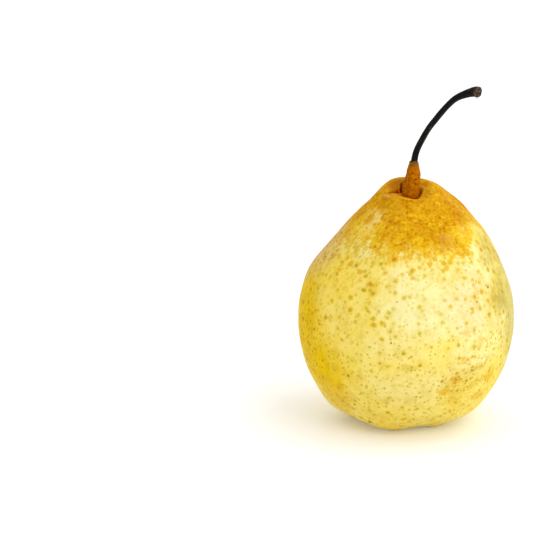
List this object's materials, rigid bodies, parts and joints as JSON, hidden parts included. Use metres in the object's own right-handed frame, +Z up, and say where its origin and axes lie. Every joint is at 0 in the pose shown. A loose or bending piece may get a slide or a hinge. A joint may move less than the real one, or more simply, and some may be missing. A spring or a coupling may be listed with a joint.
{
  "type": "nashi pear",
  "caption": "Whole nashi pear with dotted yellow skin, russet shoulders, a lobed base, a fleshy stem foot and a long, thin, bent dark stem, standing on its blossom end.",
  "frame": {"origin": "on the surface that the pear stands on, under the middle of the fruit", "axes": "+Z up, from the blossom end to the stem; +X to the side that the stem bends over to; -Y is the front, where the rim of the stem cavity is lowest"},
  "size_m": [0.0746, 0.0746, 0.1178],
  "materials": {
    "skin": "thin waxy fruit skin, pale yellow with golden russet shoulders and fine brown dots, softly glossy",
    "bark": "near-black dried bark with fine lengthwise wrinkles and a paler cut end",
    "calyx": "dry, corky, dark brown remnant of the flower"
  },
  "bodies": {
    "root": {"fruit": "skin", "stem": "bark", "calyx": "calyx"}
  },
  "joints": []
}
